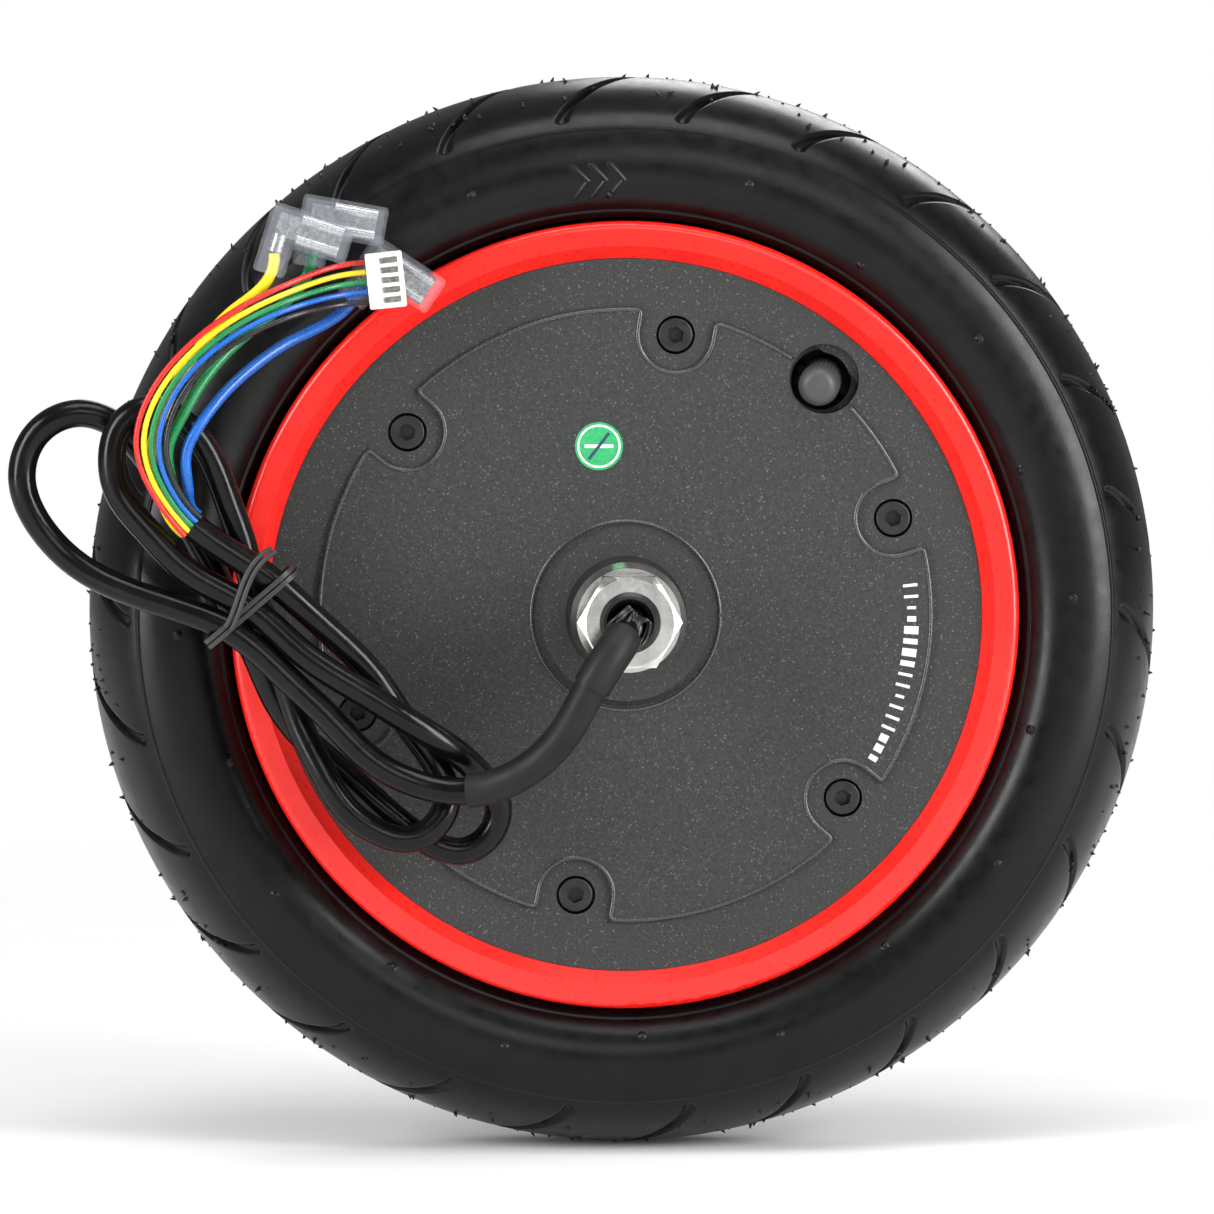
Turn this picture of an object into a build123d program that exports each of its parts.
"""Hub motor wheel of a small electric vehicle, built as its separate pieces.

Millimetres. The origin is the centre of the wheel, +Z is up and the wheel turns about the Y axis.
The side with the cable, the screwed cover and the valve faces -Y.
"""
import os
from math import cos, radians, sin

from build123d import *

os.makedirs("parts", exist_ok=True)

# ---- driving dimensions -------------------------------------------------------------------
TYRE_R = 108.0            # outer radius of the 8.5 inch tyre
TYRE_HALF_WIDTH = 25.0    # half of the widest section of the tyre
RIM_HALF = 13.5           # half of the width between the rim flanges
RIM_FLANGE_R = 79.0       # outer radius of the rim flanges
BEAD_SEAT_R = 67.0
WELL_R = 62.0             # floor of the well between the bead seats
WELL_HALF = 8.6
FACE_Y = 23.0             # flange faces lie at -FACE_Y and +FACE_Y
SHELL_BORE_R = 53.0       # bore that holds the magnet ring

COVER_R = 71.5            # side cover, recessed inside the flange
COVER_FACE_Y = 20.5       # annulus of the cover that holds the screws
COVER_SEAT_Y = 14.5       # face of the shell that the cover is screwed to
PLATEAU_R = 61.9
PLATEAU_RISE = 0.8
NOTCH_R = 7.0
SCREW_CIRCLE_R = 57.1
SCREW_COUNT = 6
SCREW_START_DEG = 19.9
SCREW_R = 2.0
SCREW_HEAD_R = 3.5
SCREW_HEAD_H = 4.0

VALVE_DEG = 50.0          # angle of the valve around the wheel, from +X towards +Z
VALVE_HOLE_R = 7.0
VALVE_TIP = (59.2, -24.5)  # radius and Y of the tip of the valve cap
VALVE_LEAN_DEG = 13.0
STEM_R = 2.6
CAP_R = 4.15
CAP_LENGTH = 11.0

AXLE_R = 6.0              # M12 ends
AXLE_FLAT = 10.0          # across the flats that the fork holds
AXLE_SEAT_R = 7.5         # cable side bearing seat
SHOULDER_Y = 29.0         # faces that the fork dropouts rest on
NUT_Y = 36.0              # clamping faces of the nuts
NUT_H = 10.0
NUT_FLANGE_R = 11.5
NUT_HEX = 18.0
AXLE_CABLE_END = 47.0
AXLE_FAR_END = 54.0
AXLE_PLAIN_R = 5.0        # plain end beyond the far nut
AXLE_PLAIN_END = 46.3
AXLE_BORE_R = 3.9

STATOR_TEETH = 27
STATOR_R = 46.0
STACK_HALF = 11.0
SLOT_FLOOR_R = 31.0
SHOE_R = 43.5
TOOTH_W = 3.4
COIL_T = 1.35
MAGNET_COUNT = 30
MAGNET_R_IN = 46.6
MAGNET_R_OUT = 49.05
FLUX_R_IN = 49.1
BALL_R = 2.381

CABLE_R = 2.75
PHASE_WIRE_R = 1.1
HALL_WIRE_R = 0.55
GAP = 0.05                # running clearance between pieces that turn on one another
FIT = 0.02                # clearance between pieces that are pressed or bolted together


# ---- planes and sections ------------------------------------------------------------------
def side_plane(y):
    """Plane across the axle at Y = y: local x is +X, local y is +Z, its normal faces the cable side."""
    return Plane(origin=(0, y, 0), x_dir=(1, 0, 0), z_dir=(0, -1, 0))


def meridian(angle):
    """Plane through the axle at an angle around it: local x is the radius, local y is +Y."""
    a = radians(angle)
    return Plane(origin=(0, 0, 0), x_dir=(cos(a), 0, sin(a)), z_dir=(-sin(a), 0, cos(a)))


def ring_section(r_in, r_out, y_low, y_high):
    """Rectangle in the meridian plane, for a ring about the axle."""
    with Locations(((r_in + r_out) / 2, (y_low + y_high) / 2)):
        Rectangle(r_out - r_in, y_high - y_low)


def outline(*points):
    """Closed straight-sided outline in the sketch that is open."""
    with BuildLine() as border:
        Polyline(*points, close=True)
    make_face(border.edges())


def both_sides(half):
    """Half of a symmetric outline, given from the middle outwards, made whole about Y = 0."""
    return [(r, y) for r, y in half] + [(r, -y) for r, y in reversed(half) if y > 0]


def along(route):
    """Smooth centre line through the points of a route."""
    with BuildLine() as line:
        Spline(*route)
    return line.edges()[0]


def start_plane(edge):
    return Plane(origin=edge @ 0, z_dir=edge % 0)


# ---- tyre and inner tube ------------------------------------------------------------------
# Outside and inside of the tyre, from the edge of the rim to the middle of the tread.
TYRE_OUTSIDE = [(RIM_FLANGE_R + 0.8, 19.0), (84, 23.4), (89, TYRE_HALF_WIDTH), (95, 24.2),
                (100.6, 20.9), (105, 14.4), (107.4, 7)]
TYRE_INSIDE = [(BEAD_SEAT_R + 0.2, 9.8), (77, 9.5), (82, 12.6), (86, 18), (90, 20.8), (95, 20.2),
               (99, 16), (101.6, 9)]
TREAD_INSIDE_R = 102.4


def across_wheel(side, middle):
    """Points of one half of the tyre, carried on over the middle to the other half."""
    return side + [middle] + [(r, -y) for r, y in reversed(side)]


with BuildPart() as tyre:
    with BuildSketch(Plane.XY):
        with BuildLine():
            Spline(*across_wheel(TYRE_OUTSIDE, (TYRE_R, 0)))
            Spline(*across_wheel(TYRE_INSIDE, (TREAD_INSIDE_R, 0)))
            for half in (1, -1):
                Polyline((BEAD_SEAT_R + 0.2, half * 9.8), (BEAD_SEAT_R + 0.2, half * (RIM_HALF - 0.1)),
                         (RIM_FLANGE_R + 0.6, half * (RIM_HALF - 0.1)), (RIM_FLANGE_R + 0.8, half * 19.0))
        make_face()
    revolve(axis=Axis.Y)
tyre.part.label = "tyre"
export_step(tyre.part, "parts/tyre.step")

# The valve stem runs straight in from its tip and enters the flank of the tube.
LEAN = radians(VALVE_LEAN_DEG)
valve_dir = (sin(LEAN), cos(LEAN))          # inwards along the stem, as radius and Y


def on_valve(distance):
    """Point on the valve's axis, at a distance in from the tip of the cap."""
    return (VALVE_TIP[0] + valve_dir[0] * distance, VALVE_TIP[1] + valve_dir[1] * distance)


def tube_outline(inset):
    """Cross-section of the inner tube, drawn in from its outer surface by inset."""
    half = [(WELL_R + 0.3 + inset, 0), (WELL_R + 0.3 + inset, WELL_HALF - 0.4 - inset),
            (BEAD_SEAT_R + 0.6, 8.3 - inset), (76.5, 8.0 - inset), (81.8, 10.8 - inset),
            (86.0, 16.2 - inset), (89.6, 19.2 - inset), (94.2, 18.8 - inset),
            (98.0 - inset, 14.8 - inset), (100.8 - inset, 8.2), (101.8 - inset, 0)]
    outline(*both_sides(half))


def valve_plane(distance):
    """Plane across the valve's axis at a distance in from the tip of the cap, facing outwards."""
    r, y = on_valve(distance)
    a = radians(VALVE_DEG)
    inward = Vector(valve_dir[0] * cos(a), valve_dir[1], valve_dir[0] * sin(a))
    return Plane(origin=(r * cos(a), y, r * sin(a)), z_dir=inward * -1)


TUBE_WALL = 1.2
with BuildPart() as tube_air:
    with BuildSketch(Plane.XY):
        tube_outline(TUBE_WALL)
    revolve(axis=Axis.Y)
    with BuildSketch(valve_plane(24)):
        Circle(STEM_R + 2.6)
    extrude(amount=24, mode=Mode.SUBTRACT)
with BuildPart() as inner_tube:
    with BuildSketch(Plane.XY):
        tube_outline(0)
    revolve(axis=Axis.Y)
    add(tube_air.part, mode=Mode.SUBTRACT)
    with BuildSketch(valve_plane(22.4)):
        Circle(STEM_R + 1.0)
    extrude(amount=24, mode=Mode.SUBTRACT)
inner_tube.part.label = "inner_tube"
export_step(inner_tube.part, "parts/inner_tube.step")

# ---- valve --------------------------------------------------------------------------------
STEM_END = 22.0
with BuildPart() as valve_stem:
    with BuildSketch(valve_plane(STEM_END)):
        Circle(STEM_R + 0.9)
    extrude(amount=9)
    with BuildSketch(valve_plane(STEM_END)):
        Circle(STEM_R)
    extrude(amount=STEM_END - 1.6)
    with BuildSketch(valve_plane(STEM_END - 1.2)):
        Circle(1.25)
    extrude(amount=STEM_END, mode=Mode.SUBTRACT)
valve_stem.part.label = "valve_stem"
export_step(valve_stem.part, "parts/valve_stem.step")

with BuildPart() as valve_core:
    with BuildSketch(valve_plane(14)):
        Circle(1.2)
    extrude(amount=12)
    chamfer(valve_core.edges(), 0.25)
valve_core.part.label = "valve_core"
export_step(valve_core.part, "parts/valve_core.step")

with BuildPart() as valve_cap:
    with BuildSketch(valve_plane(CAP_LENGTH)):
        Circle(CAP_R)
    extrude(amount=CAP_LENGTH)
    fillet(valve_cap.faces().sort_by(Axis.Y)[0].edges(), 2.6)
    with BuildSketch(valve_plane(CAP_LENGTH)):
        Circle(STEM_R + GAP)
    extrude(amount=CAP_LENGTH - 1.4, mode=Mode.SUBTRACT)
valve_cap.part.label = "valve_cap"
export_step(valve_cap.part, "parts/valve_cap.step")

# ---- hub shell ----------------------------------------------------------------------------
FAR_WALL_Y = 16.5
FAR_FACE_Y = 20.5
FAR_BOSS_R = 19.0
with BuildPart() as hub_shell:
    with BuildSketch(Plane.XY):
        outline(
            (71.6, -COVER_FACE_Y), (74.0, -FACE_Y), (RIM_FLANGE_R, -FACE_Y),
            (RIM_FLANGE_R, -RIM_HALF), (BEAD_SEAT_R, -RIM_HALF), (BEAD_SEAT_R, -9.6),
            (WELL_R, -WELL_HALF), (WELL_R, WELL_HALF), (BEAD_SEAT_R, 9.6),
            (BEAD_SEAT_R, RIM_HALF), (RIM_FLANGE_R, RIM_HALF), (RIM_FLANGE_R, FACE_Y),
            (74.0, FACE_Y), (70.0, FAR_FACE_Y), (FAR_BOSS_R + 1.5, FAR_FACE_Y),
            (FAR_BOSS_R, 22.0), (12.1, 22.0), (12.1, 20.1), (14.0, 20.1), (14.0, 11.8),
            (FAR_BOSS_R, 11.8), (FAR_BOSS_R + 2, FAR_WALL_Y), (SHELL_BORE_R, FAR_WALL_Y),
            (SHELL_BORE_R, -13.6), (54.7, -13.6), (54.7, -COVER_SEAT_Y),
            (66.1, -COVER_SEAT_Y), (66.1, -17.5), (71.6, -17.5),
        )
    revolve(axis=Axis.Y)
    outer_rims = hub_shell.edges().filter_by(GeomType.CIRCLE).filter_by(
        lambda e: abs(e.radius - RIM_FLANGE_R) < 0.01 and abs(abs(e.center().Y) - FACE_Y) < 0.01)
    fillet(outer_rims, 1.6)
    with BuildSketch(valve_plane(25)):
        Circle(VALVE_HOLE_R - 1)
    extrude(amount=25, mode=Mode.SUBTRACT)
    with BuildSketch(side_plane(-COVER_SEAT_Y + 10.5)):
        with PolarLocations(SCREW_CIRCLE_R, SCREW_COUNT, SCREW_START_DEG):
            Circle(SCREW_R + GAP)
    extrude(amount=12, mode=Mode.SUBTRACT)
    # shallow pockets between six ribs on the closed side
    with BuildSketch(side_plane(FAR_FACE_Y - 1.2)):
        with PolarLocations(44, SCREW_COUNT, 30):
            SlotCenterToCenter(16, 14)
    extrude(amount=-5, mode=Mode.SUBTRACT)
hub_shell.part.label = "hub_shell"
export_step(hub_shell.part, "parts/hub_shell.step")

# ---- side cover ---------------------------------------------------------------------------
with BuildPart() as side_cover:
    with BuildSketch(Plane.XY):
        outline(
            (12.1, -23.0), (17.0, -23.0), (18.4, -COVER_FACE_Y - PLATEAU_RISE / 2),
            (22.0, -COVER_FACE_Y), (COVER_R, -COVER_FACE_Y), (COVER_R, -17.5 - FIT),
            (66.0, -17.5 - FIT), (66.0, -COVER_SEAT_Y - FIT), (SHELL_BORE_R + 0.2, -COVER_SEAT_Y - FIT),
            (51.0, -16.5), (22.0, -16.5), (20.0, -12.5), (16.0, -12.5), (16.0, -21.6), (12.1, -21.6),
        )
    revolve(axis=Axis.Y)
    with BuildSketch(side_plane(-COVER_FACE_Y + 0.3)) as plateau_outline:
        Circle(PLATEAU_R)
        with PolarLocations(SCREW_CIRCLE_R, SCREW_COUNT, SCREW_START_DEG):
            Circle(NOTCH_R, mode=Mode.SUBTRACT)
        # each notch stays open towards the edge of the plateau
        with PolarLocations(SCREW_CIRCLE_R + NOTCH_R / 2, SCREW_COUNT, SCREW_START_DEG):
            Rectangle(NOTCH_R, 2 * NOTCH_R, mode=Mode.SUBTRACT)
        Circle(17.6, mode=Mode.SUBTRACT)
    extrude(amount=PLATEAU_RISE + 0.3, taper=30)
    with BuildSketch(side_plane(-12)):
        with Locations((61.9 * cos(radians(VALVE_DEG)), 61.9 * sin(radians(VALVE_DEG)))):
            Circle(VALVE_HOLE_R)
    extrude(amount=15, mode=Mode.SUBTRACT)
    with BuildSketch(side_plane(-COVER_SEAT_Y + 1)):
        with PolarLocations(SCREW_CIRCLE_R, SCREW_COUNT, SCREW_START_DEG):
            Circle(SCREW_R + 0.2)
    extrude(amount=12, mode=Mode.SUBTRACT)
    with BuildSketch(side_plane(-COVER_FACE_Y + SCREW_HEAD_H + 0.3)):
        with PolarLocations(SCREW_CIRCLE_R, SCREW_COUNT, SCREW_START_DEG):
            Circle(SCREW_HEAD_R + 0.4)
    extrude(amount=12, mode=Mode.SUBTRACT)
side_cover.part.label = "side_cover"
export_step(side_cover.part, "parts/side_cover.step")

with BuildPart() as cover_gasket:
    with BuildSketch(Plane.XY):
        ring_section(SHELL_BORE_R + 0.3, 54.6, -COVER_SEAT_Y + FIT, -13.6 - FIT)
    revolve(axis=Axis.Y)
cover_gasket.part.label = "cover_gasket"
export_step(cover_gasket.part, "parts/cover_gasket.step")

HEX_KEY = 3.0
HEAD_SEAT_Y = -COVER_FACE_Y + SCREW_HEAD_H + 0.3 - FIT
with BuildPart() as cover_screws:
    with BuildSketch(side_plane(HEAD_SEAT_Y)):
        with PolarLocations(SCREW_CIRCLE_R, SCREW_COUNT, SCREW_START_DEG):
            Circle(SCREW_HEAD_R)
    extrude(amount=SCREW_HEAD_H)
    fillet(cover_screws.faces().group_by(Axis.Y)[0].edges(), 0.4)
    with BuildSketch(side_plane(HEAD_SEAT_Y + 11)):
        with PolarLocations(SCREW_CIRCLE_R, SCREW_COUNT, SCREW_START_DEG):
            Circle(SCREW_R)
    extrude(amount=11.2)
    with BuildSketch(side_plane(HEAD_SEAT_Y - SCREW_HEAD_H + 2.2)):
        with PolarLocations(SCREW_CIRCLE_R, SCREW_COUNT, SCREW_START_DEG):
            RegularPolygon(HEX_KEY / 2, 6, major_radius=False)
    extrude(amount=4, mode=Mode.SUBTRACT)
cover_screws.part.label = "cover_screws"
export_step(cover_screws.part, "parts/cover_screws.step")

# ---- magnet ring --------------------------------------------------------------------------
with BuildPart() as flux_ring:
    with BuildSketch(Plane.XY):
        ring_section(FLUX_R_IN, SHELL_BORE_R - FIT, -12, 12)
    revolve(axis=Axis.Y)
flux_ring.part.label = "flux_ring"
export_step(flux_ring.part, "parts/flux_ring.step")

MAGNET_STEP = 360 / MAGNET_COUNT
with BuildPart() as magnets:
    with BuildSketch(side_plane(12)):
        Circle(MAGNET_R_OUT)
        Circle(MAGNET_R_IN, mode=Mode.SUBTRACT)
        with PolarLocations(47.8, MAGNET_COUNT, MAGNET_STEP / 2):
            Rectangle(4, 0.7, mode=Mode.SUBTRACT)
    extrude(amount=24)
magnets.part.label = "magnets"
export_step(magnets.part, "parts/magnets.step")


# ---- bearings -----------------------------------------------------------------------------
class Bearing:
    """Deep-groove ball bearing: bore, outside and pitch radius, its ball count and its Y span."""

    def __init__(self, bore_r, outer_r, pitch_r, balls, y_low, y_high):
        self.bore_r, self.outer_r, self.pitch_r = bore_r, outer_r, pitch_r
        self.balls, self.y_low, self.y_high = balls, y_low, y_high
        self.mid = (y_low + y_high) / 2
        self.inner_land = pitch_r - 2.15
        self.outer_land = pitch_r + 2.15


CABLE_BEARING = Bearing(AXLE_SEAT_R, 16.0, 11.75, 9, -21.5, -12.5)
FAR_BEARING = Bearing(AXLE_R, 14.0, 10.0, 8, 12.0, 20.0)
BEARINGS = (CABLE_BEARING, FAR_BEARING)
RACEWAY_R = BALL_R + 0.03

with BuildPart() as bearing_outer_races:
    for b in BEARINGS:
        with BuildSketch(Plane.XY):
            ring_section(b.outer_land, b.outer_r - FIT, b.y_low, b.y_high)
            with Locations((b.pitch_r, b.mid)):
                Circle(RACEWAY_R, mode=Mode.SUBTRACT)
        revolve(axis=Axis.Y)
bearing_outer_races.part.label = "bearing_outer_races"
export_step(bearing_outer_races.part, "parts/bearing_outer_races.step")

with BuildPart() as bearing_inner_races:
    for b in BEARINGS:
        with BuildSketch(Plane.XY):
            ring_section(b.bore_r + FIT, b.inner_land, b.y_low, b.y_high)
            with Locations((b.pitch_r, b.mid)):
                Circle(RACEWAY_R, mode=Mode.SUBTRACT)
        revolve(axis=Axis.Y)
bearing_inner_races.part.label = "bearing_inner_races"
export_step(bearing_inner_races.part, "parts/bearing_inner_races.step")

SHIELD_T = 0.6
with BuildPart() as bearing_shields:
    for b in BEARINGS:
        with BuildSketch(Plane.XY):
            for y_low in (b.y_low + 0.1, b.y_high - 0.1 - SHIELD_T):
                ring_section(b.inner_land + 0.1, b.outer_land - FIT, y_low, y_low + SHIELD_T)
        revolve(axis=Axis.Y)
bearing_shields.part.label = "bearing_shields"
export_step(bearing_shields.part, "parts/bearing_shields.step")


def ball_angles(b):
    return [360 * (i + 0.5) / b.balls for i in range(b.balls)]


def ball_places(b):
    return [(b.pitch_r * cos(radians(a)), b.mid, b.pitch_r * sin(radians(a))) for a in ball_angles(b)]


def ball_pockets(b):
    """Planes whose normals point outwards through each ball of a bearing."""
    return [Plane(origin=place, z_dir=(place[0], 0, place[2])) for place in ball_places(b)]


CAGE_HALF_T = 0.5
CAGE_HALF_W = 3.0
with BuildPart() as balls_cable_side:
    with Locations(*ball_places(CABLE_BEARING)):
        Sphere(BALL_R)
with BuildPart() as cage_cable_side:
    with BuildSketch(Plane.XY):
        ring_section(CABLE_BEARING.pitch_r - CAGE_HALF_T, CABLE_BEARING.pitch_r + CAGE_HALF_T,
                     CABLE_BEARING.mid - CAGE_HALF_W, CABLE_BEARING.mid + CAGE_HALF_W)
    revolve(axis=Axis.Y)
    with Locations(*ball_pockets(CABLE_BEARING)):
        Cylinder(BALL_R + GAP, 4 * CAGE_HALF_T, mode=Mode.SUBTRACT)
with BuildPart() as balls_far_side:
    with Locations(*ball_places(FAR_BEARING)):
        Sphere(BALL_R)
with BuildPart() as cage_far_side:
    with BuildSketch(Plane.XY):
        ring_section(FAR_BEARING.pitch_r - CAGE_HALF_T, FAR_BEARING.pitch_r + CAGE_HALF_T,
                     FAR_BEARING.mid - CAGE_HALF_W + 0.1, FAR_BEARING.mid + CAGE_HALF_W - 0.1)
    revolve(axis=Axis.Y)
    with Locations(*ball_pockets(FAR_BEARING)):
        Cylinder(BALL_R + GAP, 4 * CAGE_HALF_T, mode=Mode.SUBTRACT)
for piece, name in ((balls_cable_side, "balls_cable_side"), (cage_cable_side, "cage_cable_side"),
                    (balls_far_side, "balls_far_side"), (cage_far_side, "cage_far_side")):
    piece.part.label = name
    export_step(piece.part, f"parts/{name}.step")

SPACER_R = 9.0
with BuildPart() as shaft_seals:
    with BuildSketch(Plane.XY):
        ring_section(AXLE_SEAT_R + 0.1, 12.1 - FIT, -22.9, -21.62)
        ring_section(SPACER_R + 0.1, 12.1 - FIT, 20.2, 21.9)
    revolve(axis=Axis.Y)
shaft_seals.part.label = "shaft_seals"
export_step(shaft_seals.part, "parts/shaft_seals.step")

# ---- axle and stator ----------------------------------------------------------------------
AXLE_BODY_R = 10.0
HUB_HALF = 8.0
with BuildPart() as axle:
    with BuildSketch(Plane.XY):
        outline(
            (0, -AXLE_CABLE_END), (AXLE_R - 0.7, -AXLE_CABLE_END), (AXLE_R, -AXLE_CABLE_END + 0.7),
            (AXLE_R, -SHOULDER_Y), (AXLE_SEAT_R, -SHOULDER_Y), (AXLE_SEAT_R, CABLE_BEARING.y_high),
            (AXLE_BODY_R, CABLE_BEARING.y_high), (AXLE_BODY_R, FAR_BEARING.y_low),
            (AXLE_R, FAR_BEARING.y_low), (AXLE_R, AXLE_PLAIN_END), (AXLE_PLAIN_R, AXLE_PLAIN_END),
            (AXLE_PLAIN_R, AXLE_FAR_END - 0.5), (AXLE_PLAIN_R - 0.5, AXLE_FAR_END), (0, AXLE_FAR_END),
        )
    revolve(axis=Axis.Y)
    # flats for the fork dropouts
    for y_from in (-NUT_Y, SHOULDER_Y + 1):
        with BuildSketch(Plane.XZ.offset(-y_from)):
            Circle(AXLE_SEAT_R)
            Rectangle(AXLE_FLAT, 20, mode=Mode.SUBTRACT)
        extrude(amount=-(NUT_Y - SHOULDER_Y - (1 if y_from > 0 else 0)), mode=Mode.SUBTRACT)
    with BuildSketch(side_plane(-6)):
        Circle(AXLE_BORE_R)
    extrude(amount=AXLE_CABLE_END, mode=Mode.SUBTRACT)
    bore_mouth = axle.edges().filter_by(GeomType.CIRCLE).filter_by(
        lambda e: abs(e.radius - AXLE_BORE_R) < 0.01).sort_by(Axis.Y)[0]
    chamfer(bore_mouth, 0.8)
    with BuildSketch(Plane.XY.offset(-AXLE_BODY_R - 1)):
        with Locations((0, -10.2)):
            Rectangle(7, 3.6)
    extrude(amount=AXLE_BODY_R + 1, mode=Mode.SUBTRACT)
axle.part.label = "axle"
export_step(axle.part, "parts/axle.step")

with BuildPart() as axle_spacer:
    with BuildSketch(Plane.XY):
        ring_section(AXLE_R + GAP, SPACER_R, FAR_BEARING.y_high + FIT, SHOULDER_Y)
    revolve(axis=Axis.Y)
axle_spacer.part.label = "axle_spacer"
export_step(axle_spacer.part, "parts/axle_spacer.step")

with BuildPart() as axle_nuts:
    for direction in (-1, 1):
        clamp_plane = Plane(origin=(0, direction * NUT_Y, 0), x_dir=(1, 0, 0), z_dir=(0, direction, 0))
        with BuildSketch(clamp_plane):
            Circle(NUT_FLANGE_R)
        extrude(amount=2.6, taper=24)
        with BuildSketch(clamp_plane):
            RegularPolygon(NUT_HEX / 2, 6, major_radius=False)
        extrude(amount=NUT_H)
        with BuildSketch(Plane.XY):
            nut_end = direction * (NUT_Y + NUT_H)
            outline((NUT_HEX / 2 - 0.3, nut_end), (NUT_HEX / 2 + 3, nut_end),
                    (NUT_HEX / 2 + 3, nut_end - direction * 1.9))
        revolve(axis=Axis.Y, mode=Mode.SUBTRACT)
        with BuildSketch(clamp_plane):
            Circle(AXLE_R + GAP)
        extrude(amount=NUT_H, mode=Mode.SUBTRACT)
axle_nuts.part.label = "axle_nuts"
export_step(axle_nuts.part, "parts/axle_nuts.step")

HUB_SPIDER_R = 26.0
with BuildPart() as stator_hub:
    with BuildSketch(side_plane(HUB_HALF)):
        Circle(HUB_SPIDER_R - FIT)
        Circle(AXLE_BODY_R + FIT, mode=Mode.SUBTRACT)
        with PolarLocations(18, 6):
            Circle(4.2, mode=Mode.SUBTRACT)
    extrude(amount=2 * HUB_HALF)
stator_hub.part.label = "stator_hub"
export_step(stator_hub.part, "parts/stator_hub.step")

TOOTH_STEP = 360 / STATOR_TEETH


def slot_half_width(r):
    """Half of the width of a slot at radius r, between two parallel-sided teeth."""
    return r * sin(radians(TOOTH_STEP / 2)) - TOOTH_W / 2


with BuildPart() as stator_core:
    with BuildSketch(side_plane(STACK_HALF)) as core_outline:
        Circle(STATOR_R)
        Circle(HUB_SPIDER_R, mode=Mode.SUBTRACT)
        with PolarLocations(0, STATOR_TEETH, TOOTH_STEP / 2):
            Polygon(
                (SLOT_FLOOR_R, -slot_half_width(SLOT_FLOOR_R)), (SHOE_R - 1, -slot_half_width(SHOE_R - 1)),
                (SHOE_R, -0.8), (STATOR_R + 1, -0.8), (STATOR_R + 1, 0.8), (SHOE_R, 0.8),
                (SHOE_R - 1, slot_half_width(SHOE_R - 1)), (SLOT_FLOOR_R, slot_half_width(SLOT_FLOOR_R)),
                align=None, mode=Mode.SUBTRACT,
            )
    extrude(amount=2 * STACK_HALF)
stator_core.part.label = "stator_core"
export_step(stator_core.part, "parts/stator_core.step")

COIL_R_IN = SLOT_FLOOR_R + 0.6
COIL_R_OUT = SHOE_R - 1.2
COIL_END_Y = 14.0
INSULATOR_Y = 12.0
PHASE_LAYOUT = ("u", "v", "w")


for phase_index, phase in enumerate(PHASE_LAYOUT):
    with BuildPart() as phase_coils:
        for coil_index in range(STATOR_TEETH // 3):
            coil_deg = radians(TOOTH_STEP * (3 * coil_index + phase_index))
            outward = Vector(cos(coil_deg), 0, sin(coil_deg))
            across_tooth = Plane(origin=outward * COIL_R_IN, x_dir=(0, 1, 0), z_dir=outward)
            with BuildSketch(across_tooth):
                Rectangle(2 * COIL_END_Y, TOOTH_W + 0.2 + 2 * COIL_T)
                Rectangle(2 * INSULATOR_Y + 0.2, TOOTH_W + 0.2, mode=Mode.SUBTRACT)
            extrude(amount=COIL_R_OUT - COIL_R_IN)
    phase_coils.part.label = f"phase_{phase}_coils"
    export_step(phase_coils.part, f"parts/phase_{phase}_coils.step")

with BuildPart() as slot_insulators:
    for plane in (side_plane(-STACK_HALF - FIT), side_plane(INSULATOR_Y)):
        with BuildSketch(plane):
            Circle(SLOT_FLOOR_R - 0.2)
            Circle(HUB_SPIDER_R + 1, mode=Mode.SUBTRACT)
            with PolarLocations(0, STATOR_TEETH):
                with Locations(((SLOT_FLOOR_R + SHOE_R) / 2 - 1, 0)):
                    Rectangle(SHOE_R - SLOT_FLOOR_R + 2, TOOTH_W - 0.2)
        extrude(amount=INSULATOR_Y - STACK_HALF - FIT)
slot_insulators.part.label = "slot_insulators"
export_step(slot_insulators.part, "parts/slot_insulators.step")

BOARD_Y = -14.7
SENSOR_R = 44.6
SENSOR_STEP_DEG = 13.333
BOARD_HALF_DEG = 28.0
with BuildPart() as hall_board:
    with BuildSketch(side_plane(BOARD_Y)):
        reach = 70
        outline((0, 0), (reach, -reach * sin(radians(BOARD_HALF_DEG))),
                (reach, reach * sin(radians(BOARD_HALF_DEG))))
        Circle(SENSOR_R + 1, mode=Mode.INTERSECT)
        Circle(32, mode=Mode.SUBTRACT)
    extrude(amount=1)
hall_board.part.label = "hall_board"
export_step(hall_board.part, "parts/hall_board.step")

with BuildPart() as hall_sensors:
    with BuildSketch(side_plane(-STACK_HALF - 0.3)):
        for step in (-1, 0, 1):
            with PolarLocations(SENSOR_R, 1, (step + 0.5) * SENSOR_STEP_DEG):
                Rectangle(1.5, 4)
    extrude(amount=3.3)
hall_sensors.part.label = "hall_sensors"
export_step(hall_sensors.part, "parts/hall_sensors.step")

LEAD_R = 0.8
with BuildPart() as motor_leads:
    for lead_deg in (-102, -90, -78):
        lead_plane = meridian(lead_deg)
        start_r = 9.0
        route = [(start_r, -10.4), (14, -10.4), (20, -10.9), (24.5, -12.9), (28, -13.5),
                 (COIL_R_IN - 0.3, -13.5)]
        lead_line = along([lead_plane.from_local_coords(Vector(r, y, 0)) for r, y in route])
        with BuildSketch(start_plane(lead_line)):
            Circle(LEAD_R)
        sweep(path=lead_line)
motor_leads.part.label = "motor_leads"
export_step(motor_leads.part, "parts/motor_leads.step")

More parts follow.
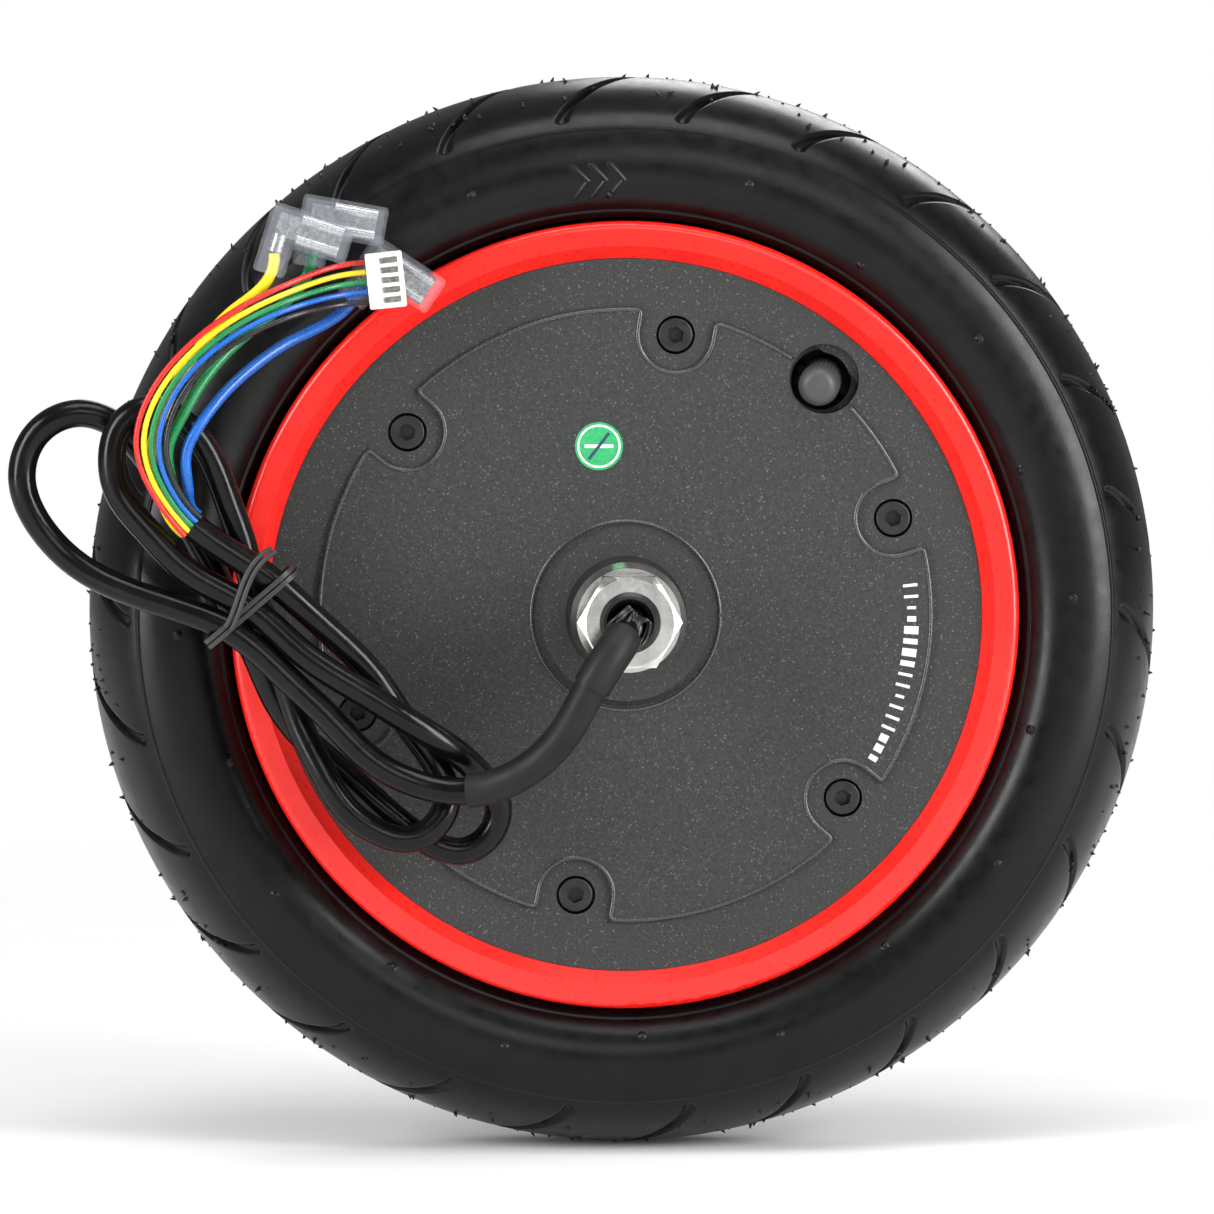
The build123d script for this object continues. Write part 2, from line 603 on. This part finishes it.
# ---- cable --------------------------------------------------------------------------------
# The cable leaves the hollow axle, loops five times over the lower left of the wheel and is
# tied once. The loops are given in order along the cable as (x, y, z).
CABLE_EXIT = [(0, -16, 0), (0, -28, 0), (0, -40, 0), (0, -48, 0)]
CABLE_LEAD = [(-1.6, -53.2, -2.4), (-8, -56.6, -12), (-13, -54.5, -21), (-21, -51, -29), (-32, -48, -33)]
FIRST_PASS = [(-41, -46.5, -32), (-51, -46, -27), (-59, -45, -19), (-68, -43.5, -10.5),
              (-78, -42.5, -2)]
OUTER_LOOP = [(-87, -41, 2), (-99, -38, 6), (-109, -35, 11), (-116, -34, 18), (-120, -34, 28),
              (-117, -34, 37), (-109, -34, 41), (-102, -33, 39), (-96, -32, 33),
              (-90, -31.5, 24), (-84, -31.5, 13), (-78, -31.5, 1)]
LOWER_LOOP = [(-74, -31.5, -7), (-70, -31.5, -16), (-65, -32, -23), (-57, -33.5, -30),
              (-48, -35, -38), (-40, -35, -44), (-33, -35, -46), (-27, -35, -42),
              (-26, -36, -36), (-29, -38, -31), (-34, -42, -26), (-42, -45.5, -20.5),
              (-53, -46, -13.5), (-64.5, -44.5, -6), (-75, -42.5, 3)]
INNER_LOOP = [(-87, -42, 10), (-95, -41, 18), (-101, -40, 26), (-102, -40, 33),
              (-100, -40, 39), (-95, -40, 42), (-89, -39, 40), (-83, -38, 33),
              (-79, -37, 23), (-76, -36.5, 14), (-74, -36.5, 5)]
SMALL_LOOP = [(-71, -36.5, -3), (-68, -37, -12), (-65, -38, -21), (-61, -40, -29),
              (-56, -41, -37), (-49, -41, -42), (-43, -41, -43), (-38, -40.5, -40),
              (-36, -39.5, -35), (-38, -38, -29), (-42, -38, -23), (-46, -38.5, -17.5),
              (-50, -39.5, -11.5), (-57, -40.5, -4), (-63.5, -41.5, 2), (-71.5, -42.5, 9)]
SHEATH_TAIL = [(-79, -42.5, 14), (-86, -42.5, 19)]
CABLE_ROUTE = (CABLE_EXIT + CABLE_LEAD + FIRST_PASS + OUTER_LOOP + LOWER_LOOP + INNER_LOOP
               + SMALL_LOOP + SHEATH_TAIL)

CABLE_STRETCHES = 8
cable_line = along(CABLE_ROUTE)
cable_path = Wire([cable_line.trim(k / CABLE_STRETCHES, (k + 1) / CABLE_STRETCHES)
                   for k in range(CABLE_STRETCHES)])


def place_on_cable(point):
    """Where along the cable, from 0 to 1, it passes a point of its route."""
    return cable_line.param_at_point(Vector(*point))


with BuildPart() as cable_sheath:
    with BuildSketch(start_plane(cable_line)):
        Circle(CABLE_R)
    sweep(path=cable_path)
cable_sheath.part.label = "cable_sheath"
export_step(cable_sheath.part, "parts/cable_sheath.step")


def cable_piece(start, end):
    """Part of the cable's centre line between two places along it."""
    return cable_line.trim(start, end)


def sleeve_on(edge, r_in, r_out):
    """Tube around a stretch of cable, in the part that is open."""
    with BuildSketch(start_plane(edge)) as wall:
        Circle(r_out)
        Circle(r_in, mode=Mode.SUBTRACT)
    sweep(wall.sketch, path=edge)


SPRING_START = place_on_cable(CABLE_EXIT[-1])
SHRINK_START = place_on_cable(CABLE_LEAD[0])
SHRINK_STEP = place_on_cable(CABLE_LEAD[1])
SHRINK_END = place_on_cable(CABLE_LEAD[-1])
SPRING_COILS = 9
SPRING_R = 3.25
SPRING_WIRE_R = 0.4
with BuildPart() as strain_relief_spring:
    for coil in range(SPRING_COILS):
        place = SPRING_START + (SHRINK_START - SPRING_START) * (coil - 0.6) / SPRING_COILS
        coil_plane = Plane(origin=cable_line @ place, z_dir=cable_line % place)
        with Locations(coil_plane):
            Torus(SPRING_R, SPRING_WIRE_R)
strain_relief_spring.part.label = "strain_relief_spring"
export_step(strain_relief_spring.part, "parts/strain_relief_spring.step")

with BuildPart() as heat_shrink_long:
    sleeve_on(cable_piece(SHRINK_START, SHRINK_END), CABLE_R + FIT, 3.35)
with BuildPart() as heat_shrink_short:
    sleeve_on(cable_piece(SHRINK_START, SHRINK_STEP), 3.35 + FIT, 3.8)
for piece, name in ((heat_shrink_long, "heat_shrink_long"), (heat_shrink_short, "heat_shrink_short")):
    piece.part.label = name
    export_step(piece.part, f"parts/{name}.step")

# ---- terminals and connector --------------------------------------------------------------
# Each flag sleeve is an L: a body with a leg that the wire enters from below. Its plane starts
# at the corner where the two meet on the outside.
SLEEVE_LENGTH = 17.0
SLEEVE_HEIGHT = 7.8
SLEEVE_LEG_W = 6.4
SLEEVE_LEG_L = 14.0
SLEEVE_HALF_T = 2.7
SLEEVE_WALL = 0.7
FLAG_TERMINALS = {
    "yellow": ((-70, -44, 83), -17.4),
    "green": ((-64, -38, 84.5), -10.0),
    "blue": ((-50, -32.3, 76.5), -33.5),
}


def tilted_plane(origin, degrees_up):
    """Plane that faces the cable side, its local x turned up from +X."""
    a = radians(degrees_up)
    return Plane(origin=origin, x_dir=(cos(a), 0, sin(a)), z_dir=(0, -1, 0))


def flag_outline(inset, leg_end):
    """Outline of a flag sleeve, drawn in from its outside by inset."""
    outline((inset, -inset), (SLEEVE_LENGTH - inset, -inset),
            (SLEEVE_LENGTH - inset, -SLEEVE_HEIGHT + inset),
            (SLEEVE_LEG_W - inset, -SLEEVE_HEIGHT + inset),
            (SLEEVE_LEG_W - inset, -leg_end), (inset, -leg_end))


with BuildPart() as terminal_sleeves:
    for origin, tilt in FLAG_TERMINALS.values():
        flag = tilted_plane(origin, tilt)
        with BuildSketch(flag.offset(-SLEEVE_HALF_T)) as flag_outside:
            flag_outline(0, SLEEVE_LEG_L)
            fillet(flag_outside.vertices(), 0.9)
        extrude(amount=2 * SLEEVE_HALF_T)
    for origin, tilt in FLAG_TERMINALS.values():
        flag = tilted_plane(origin, tilt)
        with BuildSketch(flag.offset(-SLEEVE_HALF_T + SLEEVE_WALL)):
            flag_outline(SLEEVE_WALL, SLEEVE_LEG_L + 1)
        extrude(amount=2 * (SLEEVE_HALF_T - SLEEVE_WALL), mode=Mode.SUBTRACT)
terminal_sleeves.part.label = "terminal_sleeves"
export_step(terminal_sleeves.part, "parts/terminal_sleeves.step")

RAIL_R = 1.1
WIRE_STOP = 9.8           # how far below the corner of its sleeve a wire ends
with BuildPart() as flag_terminals:
    for origin, tilt in FLAG_TERMINALS.values():
        flag = tilted_plane(origin, tilt)
        with BuildSketch(flag.offset(-0.4)):
            with Locations((8.5, -SLEEVE_HEIGHT / 2)):
                Rectangle(13, 4.6)
            with Locations((SLEEVE_LEG_W / 2, -6.5)):
                Rectangle(2.2, 5)
        extrude(amount=0.8)
        for rail_y in (-SLEEVE_HEIGHT / 2 - 2.0, -SLEEVE_HEIGHT / 2 + 2.0):
            rail_end = flag.from_local_coords(Vector(15, rail_y, 0))
            with BuildSketch(Plane(origin=rail_end, z_dir=flag.x_dir * -1)):
                Circle(RAIL_R)
            extrude(amount=8.5)
        crimp_start = flag.from_local_coords(Vector(SLEEVE_LEG_W / 2, -WIRE_STOP + 0.3, 0))
        with BuildSketch(Plane(origin=crimp_start, z_dir=flag.y_dir)):
            Circle(1.5)
        extrude(amount=3.6)
flag_terminals.part.label = "flag_terminals"
export_step(flag_terminals.part, "parts/flag_terminals.step")

SHEATH_END = Vector(*SHEATH_TAIL[-1])
TAIL_DIR = cable_line % 1
TAIL_SIDE = Vector(0, -1, 0).cross(TAIL_DIR).normalized()
PHASE_ROUTES = {
    "yellow": [(-92.6, -44.6, 25.8), (-94.2, -46.6, 33), (-92.3, -47, 40), (-89.2, -46.4, 47),
               (-84, -44.8, 55), (-78, -44, 61.5)],
    "green": [(-89.8, -44.9, 26.9), (-90.8, -46.8, 34), (-88.4, -46.8, 40), (-84, -45, 47.5),
              (-77.4, -41.5, 55), (-69.5, -38.8, 61.5)],
    "blue": [(-86.9, -45.1, 26.4), (-87.2, -46.8, 33.5), (-84.6, -46.4, 39), (-80, -43.6, 45),
             (-74, -39.4, 50.5), (-66.5, -35, 55.5)],
}
for index, (colour, middle) in enumerate(PHASE_ROUTES.items()):
    origin, tilt = FLAG_TERMINALS[colour]
    flag = tilted_plane(origin, tilt)
    leg = [flag.from_local_coords(Vector(SLEEVE_LEG_W / 2, -below, 0)) for below in (16, WIRE_STOP)]
    wire_start = SHEATH_END + TAIL_DIR * 0.4 + TAIL_SIDE * (2.25 * (1 - index)) + Vector(0, 0.9, 0)
    wire_line = along([wire_start, wire_start + TAIL_DIR * 1.2] + middle + leg)
    with BuildPart() as phase_wire:
        with BuildSketch(start_plane(wire_line)):
            Circle(PHASE_WIRE_R)
        sweep(path=wire_line)
    phase_wire.part.label = f"phase_wire_{colour}"
    export_step(phase_wire.part, f"parts/phase_wire_{colour}.step")

PLUG_W = 7.3
PLUG_H = 11.0
PLUG_T = 5.0
PLUG_PITCH = 1.95
plug_plane = tilted_plane((-48, -38.5, 67.4), 6.0)
HALL_COLOURS = ("black", "blue", "green", "yellow", "red")
# middle of the flat group of sensor wires, the direction across it, and the spacing in it
HALL_ROUTE = [((-91.6, -47.4, 26.6), 185, 1.3), ((-94, -49.4, 35), 170, 1.5),
              ((-91.4, -49.6, 44.5), 150, 1.4), ((-84.4, -49.2, 53.2), 135, 1.3),
              ((-75.4, -48.2, 59.6), 122, 1.4), ((-65.4, -44.6, 64), 108, 1.6)]
for index, colour in enumerate(HALL_COLOURS):
    step = index - (len(HALL_COLOURS) - 1) / 2
    route = [SHEATH_END + TAIL_DIR * 0.1 + TAIL_SIDE * (1.2 * step) + Vector(0, -1.85, 0)]
    for (x, y, z), across_deg, spacing in HALL_ROUTE:
        across = radians(across_deg)
        route.append(Vector(x + cos(across) * spacing * step, y, z + sin(across) * spacing * step))
    for before in (3.0, 0.1):
        route.append(plug_plane.from_local_coords(Vector(-PLUG_W / 2 - before, PLUG_PITCH * step, 0)))
    wire_line = along(route)
    with BuildPart() as hall_wire:
        with BuildSketch(start_plane(wire_line)):
            Circle(HALL_WIRE_R)
        sweep(path=wire_line)
    hall_wire.part.label = f"hall_wire_{colour}"
    export_step(hall_wire.part, f"parts/hall_wire_{colour}.step")

WINDOW_DEPTH = 1.3
with BuildPart() as hall_connector:
    with BuildSketch(plug_plane.offset(-PLUG_T / 2)):
        Rectangle(PLUG_W, PLUG_H)
    extrude(amount=PLUG_T)
    fillet(hall_connector.edges().filter_by(Axis.Y), 0.4)
    with BuildSketch(plug_plane.offset(PLUG_T / 2 - WINDOW_DEPTH)):
        for index in range(len(HALL_COLOURS)):
            with Locations((0.9, PLUG_PITCH * (index - 2))):
                Rectangle(3.6, 1.25)
    extrude(amount=WINDOW_DEPTH, mode=Mode.SUBTRACT)
hall_connector.part.label = "hall_connector"
export_step(hall_connector.part, "parts/hall_connector.step")

with BuildPart() as hall_contacts:
    with BuildSketch(plug_plane.offset(PLUG_T / 2 - WINDOW_DEPTH + FIT)):
        for index in range(len(HALL_COLOURS)):
            with Locations((0.9, PLUG_PITCH * (index - 2))):
                Rectangle(2.8, 0.8)
    extrude(amount=0.5)
hall_contacts.part.label = "hall_contacts"
export_step(hall_contacts.part, "parts/hall_contacts.step")

# ---- twist tie and sticker ----------------------------------------------------------------
TIE_R = 0.5
TIE_CENTRE = (-74.6, -37.0, 3.05)
TIE_DEG = 40.7
TIE_LENGTH = 23.2
TIE_DEPTH = 19.5
TIE_CORNER = 4.0
TAIL_ROUTE = [(-79, -47.2, -0.8), (-77, -48.2, 4), (-74.4, -48.4, 10.4), (-70, -48.6, 14.6)]
tie_turn = radians(TIE_DEG)
tie_plane = Plane(origin=TIE_CENTRE, x_dir=(cos(tie_turn), 0, sin(tie_turn)),
                  z_dir=(-sin(tie_turn), 0, cos(tie_turn)))
with BuildPart() as twist_tie:
    for side in (-0.6, 0.6):
        with BuildSketch(tie_plane.offset(side - TIE_R * 0.9)):
            RectangleRounded(TIE_LENGTH, TIE_DEPTH, TIE_CORNER)
            RectangleRounded(TIE_LENGTH - 4 * TIE_R, TIE_DEPTH - 4 * TIE_R, TIE_CORNER - 2 * TIE_R,
                             mode=Mode.SUBTRACT)
        extrude(amount=1.8 * TIE_R)
    for side in (-0.52, 0.52):
        tail_line = along([(x + side, y, z - side * 0.6) for x, y, z in TAIL_ROUTE])
        with BuildSketch(start_plane(tail_line)):
            Circle(TIE_R)
        sweep(path=tail_line)
twist_tie.part.label = "twist_tie"
export_step(twist_tie.part, "parts/twist_tie.step")

STICKER_R = 4.8
STICKER_CENTRE_R = 34.4
STICKER_DEG = 99.0
with BuildPart() as inspection_sticker:
    with BuildSketch(side_plane(-COVER_FACE_Y - PLATEAU_RISE - 0.01)):
        with PolarLocations(STICKER_CENTRE_R, 1, STICKER_DEG):
            Circle(STICKER_R)
    extrude(amount=0.15)
inspection_sticker.part.label = "inspection_sticker"
export_step(inspection_sticker.part, "parts/inspection_sticker.step")
